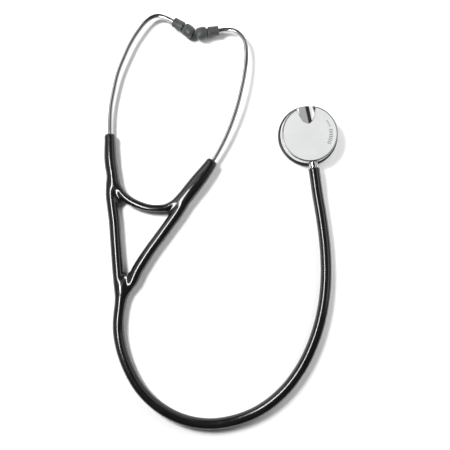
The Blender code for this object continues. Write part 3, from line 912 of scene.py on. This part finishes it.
def make_head(satin, polished, edge):
    """The steel body: a satin face, a polished side and a polished thumb notch with a fine chamfer; the
    rounded edge round the face is a darker steel, whose darkness paints the shade of the dark outline there.
    """
    frame = head_frame()
    body = turned("chestpiece_body_satin", rounded(HEAD_PROFILE, 0.0003, 5), 224, frame)
    outwards = Vector((-math.cos(NOTCH_SLOPE), 0.0, -math.sin(NOTCH_SLOPE)))
    across = Vector((-math.sin(NOTCH_SLOPE), 0.0, math.cos(NOTCH_SLOPE)))
    middle = Vector((-NOTCH_START, 0.0, HEAD_HEIGHT)) + across * NOTCH_RADIUS
    thumb = [(0.0, 0.03), (NOTCH_RADIUS, 0.03), (NOTCH_RADIUS, -0.012), (0.0, -0.012)]
    cutter = turned("notch_cutter", thumb, 180, frame @ standing_at(middle, outwards))
    cut = body.modifiers.new("notch", "BOOLEAN")
    cut.operation = "DIFFERENCE"
    cut.object = cutter
    body = as_mesh(body)
    bpy.data.objects.remove(cutter)
    chamfer_notch(body.data)
    body.data.materials.append(satin)
    body.data.materials.append(polished)
    body.data.materials.append(edge)
    for face in body.data.polygons:
        from_axis = (face.center - HEAD_CENTRE).to_2d()
        on_top = face.normal.z > 0.999 and face.center.z > HEAD_HEIGHT - 0.00002
        faces_out = face.normal.to_2d().dot(from_axis) > 0.0 and from_axis.length > EDGE_RADIUS
        on_edge = faces_out and face.center.z > EDGE_LOWEST and 0.2 < face.normal.z < 0.999
        # slot 2, the darker steel on the rounded edge, paints the shade of the face's dark outline
        face.material_index = 0 if on_top else 2 if on_edge else 1
    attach(body, "root")
    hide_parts("chestpiece_body")
    shade(body, 30)
    crease_round_face(body.data)
    return body


def crease_round_face(mesh):
    """Marks the flat face's outline sharp, so that the face is shaded flat right up to its edge."""
    shape = bmesh.new()
    shape.from_mesh(mesh)
    for edge in shape.edges:
        if len({face.material_index for face in edge.link_faces}) > 1:
            edge.smooth = False
    shape.to_mesh(mesh)
    shape.free()


def chamfer_notch(mesh):
    """Rounds the edge between the flat face and the thumb notch."""
    shape = bmesh.new()
    shape.from_mesh(mesh)
    edges = []
    for edge in shape.edges:
        on_top = all(abs(vertex.co.z - HEAD_HEIGHT) < 1e-6 for vertex in edge.verts)
        if on_top and len(edge.link_faces) == 2 and edge.calc_face_angle(0.0) > math.radians(25.0):
            edges.append(edge)
    bmesh.ops.bevel(
        shape, geom=edges, offset=0.00022, segments=3, profile=0.5, affect="EDGES", clamp_overlap=False
    )
    shape.to_mesh(mesh)
    shape.free()


# Ticks: how many, from which angle to which, and how long
TICK_GROUPS = ((4, 37.0, 21.0, 0.0014), (9, 11.0, -27.0, 0.0029))
TICK_RADIUS, TICK_WIDTH, TICK_HEIGHT = 0.0171, 0.0006, 0.00004


def make_etched_ticks(ink):
    """A short scale of etched ticks near the face's edge."""
    shape = bmesh.new()
    for count, first, last, length in TICK_GROUPS:
        for index in range(count):
            turn = math.radians(first + (last - first) * index / (count - 1))
            place = Vector((math.cos(turn) * TICK_RADIUS, math.sin(turn) * TICK_RADIUS, HEAD_HEIGHT))
            placement = Matrix.Translation(HEAD_CENTRE + place) @ Matrix.Rotation(turn, 4, "Z")
            size = Matrix.Diagonal((length, TICK_WIDTH, TICK_HEIGHT, 1.0))
            bmesh.ops.create_cube(shape, size=1.0, matrix=placement @ size)
    mesh = bpy.data.meshes.new("chestpiece_etched_ticks")
    shape.to_mesh(mesh)
    shape.free()
    ticks = link_new("chestpiece_etched_ticks", mesh)
    return finish_piece(ticks, ink, "root")


def make_stem(polished):
    """The stem with its turned collar."""
    collar = HEAD_RADIUS + CAD_GAP
    profile = [
        (0.0015, STEM_END),
        (0.0034, STEM_END),
        (0.00365, STEM_END - 0.0003),
        (0.00365, collar + 0.0016),
        (0.0034, collar + 0.0014),
        (0.0034, collar + 0.0011),
        (0.00365, collar + 0.0009),
        (0.00365, collar),
        (0.0026, collar),
        (0.0026, 0.0142),
        (0.0015, 0.0142),
    ]
    to_stem = standing_at(Vector((0.0, 0.0, STEM_HEIGHT)), Vector((1.0, 0.0, 0.0)))
    stem = turned("chestpiece_stem_polished", rounded(profile, 0.0003), 96, head_frame() @ to_stem)
    return finish_piece(shade(stem), polished, "root", ["chestpiece_stem"])


def make_diaphragm_parts(black, plastic):
    rim = [
        (0.0233, 0.0031),
        (0.0243, 0.0029),
        (0.0246, 0.0022),
        (0.0246, 0.0006),
        (0.0240, 0.0),
        (0.0217, 0.0),
        (0.0212, 0.0003),
        (0.0212, 0.0006),
        (0.0229, 0.0006),
        (0.0229, 0.0031),
    ]
    disc = [(0.0, 0.00095), (0.0204, 0.00095), (0.0204, 0.0005), (0.0, 0.0005)]
    surround = [(0.0223, 0.0015), (0.0223, 0.0009), (0.02075, 0.0009), (0.02075, 0.0015)]
    for name, profile, amount, material, slot, body, node in (
        ("diaphragm_rim_moulded", rim, 0.0004, black, "rim_black", "root", "diaphragm_rim"),
        ("diaphragm_sheet", disc, 0.00015, plastic, "diaphragm_plastic", "diaphragm_disc", "diaphragm"),
        ("diaphragm_surround_soft", surround, 0.00015, black, "rim_black", "root", "diaphragm_surround"),
    ):
        piece = turned(name, rounded(profile, amount), 192, head_frame())
        finish_piece(shade(piece), material, body, [node])


# ---------------------------------------------------------------- stage


def make_floor():
    mesh = bpy.data.meshes.new("floor")
    half = 3.0
    corners = [(-half, -half, 0.0), (half, -half, 0.0), (half, half, 0.0), (-half, half, 0.0)]
    mesh.from_pydata(corners, [], [(0, 1, 2, 3)])
    floor = link_new("floor", mesh)
    floor.location.z = -0.00005
    coat = Coat("pale_floor", (0.82, 0.82, 0.82), 0.9)
    floor.data.materials.append(coat.material)


def make_light(name, place, target, size, radiance, unseen_by=()):
    """A soft panel of light that faces target. Its first size runs level, its second one up and down."""
    lamp = bpy.data.lights.new(name, "AREA")
    lamp.shape = "RECTANGLE"
    lamp.size, lamp.size_y = size
    lamp.energy = radiance * math.pi * size[0] * size[1]
    made = link_new(name, lamp)
    made.location = place
    made.rotation_mode = "QUATERNION"
    made.rotation_quaternion = (Vector(target) - Vector(place)).to_track_quat("-Z", "Y")
    for rays in unseen_by:
        setattr(made, f"visible_{rays}", False)


def make_stage():
    make_floor()
    make_light("key", (-0.42, 0.30, 0.6), (0.5, -0.5, 0.0), (0.27, 0.27), 57.0, ["glossy"])
    make_light("fill", (0.38, 0.18, 0.28), (0.0, -0.08, 0.0), (0.35, 0.35), 6.2, ["glossy"])
    make_light("left_strip", (-0.137, -0.08, 0.27), (-0.03, -0.08, 0.0), (0.25, 0.048), 30.0, ["diffuse"])
    make_light("left_card", (-0.45, 0.0, 0.40), (0.0, 0.0, 0.0), (0.9, 0.6), 0.35, ["diffuse"])
    make_light("right_card", (0.312, -0.02, 0.212), (0.0, -0.02, 0.0), (0.34, 0.2), 1.1)
    make_light("upper_left", (-0.45, 0.36, 0.42), (0.07, 0.03, 0.0), (0.45, 0.4), 1.3, ["diffuse"])
    make_light("upper_right", (0.36, 0.50, 0.25), (0.07, 0.03, 0.0), (0.5, 0.6), 0.6, ["diffuse"])
    world = bpy.data.worlds.new("studio")
    world.use_nodes = True
    world.node_tree.nodes["Background"].inputs["Color"].default_value = (0.9, 0.9, 0.9, 1.0)
    world.node_tree.nodes["Background"].inputs["Strength"].default_value = 0.06
    bpy.context.scene.world = world
    bpy.context.scene.view_settings.view_transform = "Standard"


def make_camera():
    camera = bpy.data.cameras.new("camera")
    camera.sensor_width = 36.0
    camera.lens = camera.sensor_width * CAMERA_DISTANCE / VIEW_WIDTH
    camera.clip_start, camera.clip_end = 0.01, 20.0
    made = link_new("camera", camera)
    made.location = CAMERA_PLACE
    bpy.context.scene.camera = made


def make_stethoscope():
    vinyl, satin, spring = black_vinyl(), satin_steel(), spring_steel()
    drawn, polished = bright_steel("drawn_steel", 0.47, 0.18), bright_steel("polished_steel", 0.6, 0.08)
    rubber, black, plastic, ink = grey_rubber(), rim_black(), diaphragm_plastic(), etched_grey()
    make_hose(vinyl)
    make_yoke(vinyl)
    make_spring(spring)
    for side, mouth, outwards, stations, tip, tip_axis, lean in (
        ("left", LEFT_MOUTH, LEFT_OUT, LEFT_EARTUBE, LEFT_TIP, LEFT_TIP_AXIS, -6.0),
        ("right", RIGHT_MOUTH, RIGHT_OUT, RIGHT_EARTUBE, RIGHT_TIP, RIGHT_TIP_AXIS, 4.0),
    ):
        make_eartube(f"{side}_eartube", stations, mouth, outwards, tip, tip_axis, drawn, f"{side}_arm")
        make_clip(side, mouth, outwards, spring)
        make_ferrule(side, tip, tip_axis, spring)
        make_eartip(side, tip, tip_axis, lean, rubber)
    # the darker steel for the face's rounded edge paints the shade of its dark outline
    make_head(satin, polished, bright_steel("turned_edge", 0.3, 0.3))
    make_etched_ticks(ink)
    make_stem(polished)
    make_diaphragm_parts(black, plastic)


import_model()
make_camera()
make_stethoscope()
make_stage()
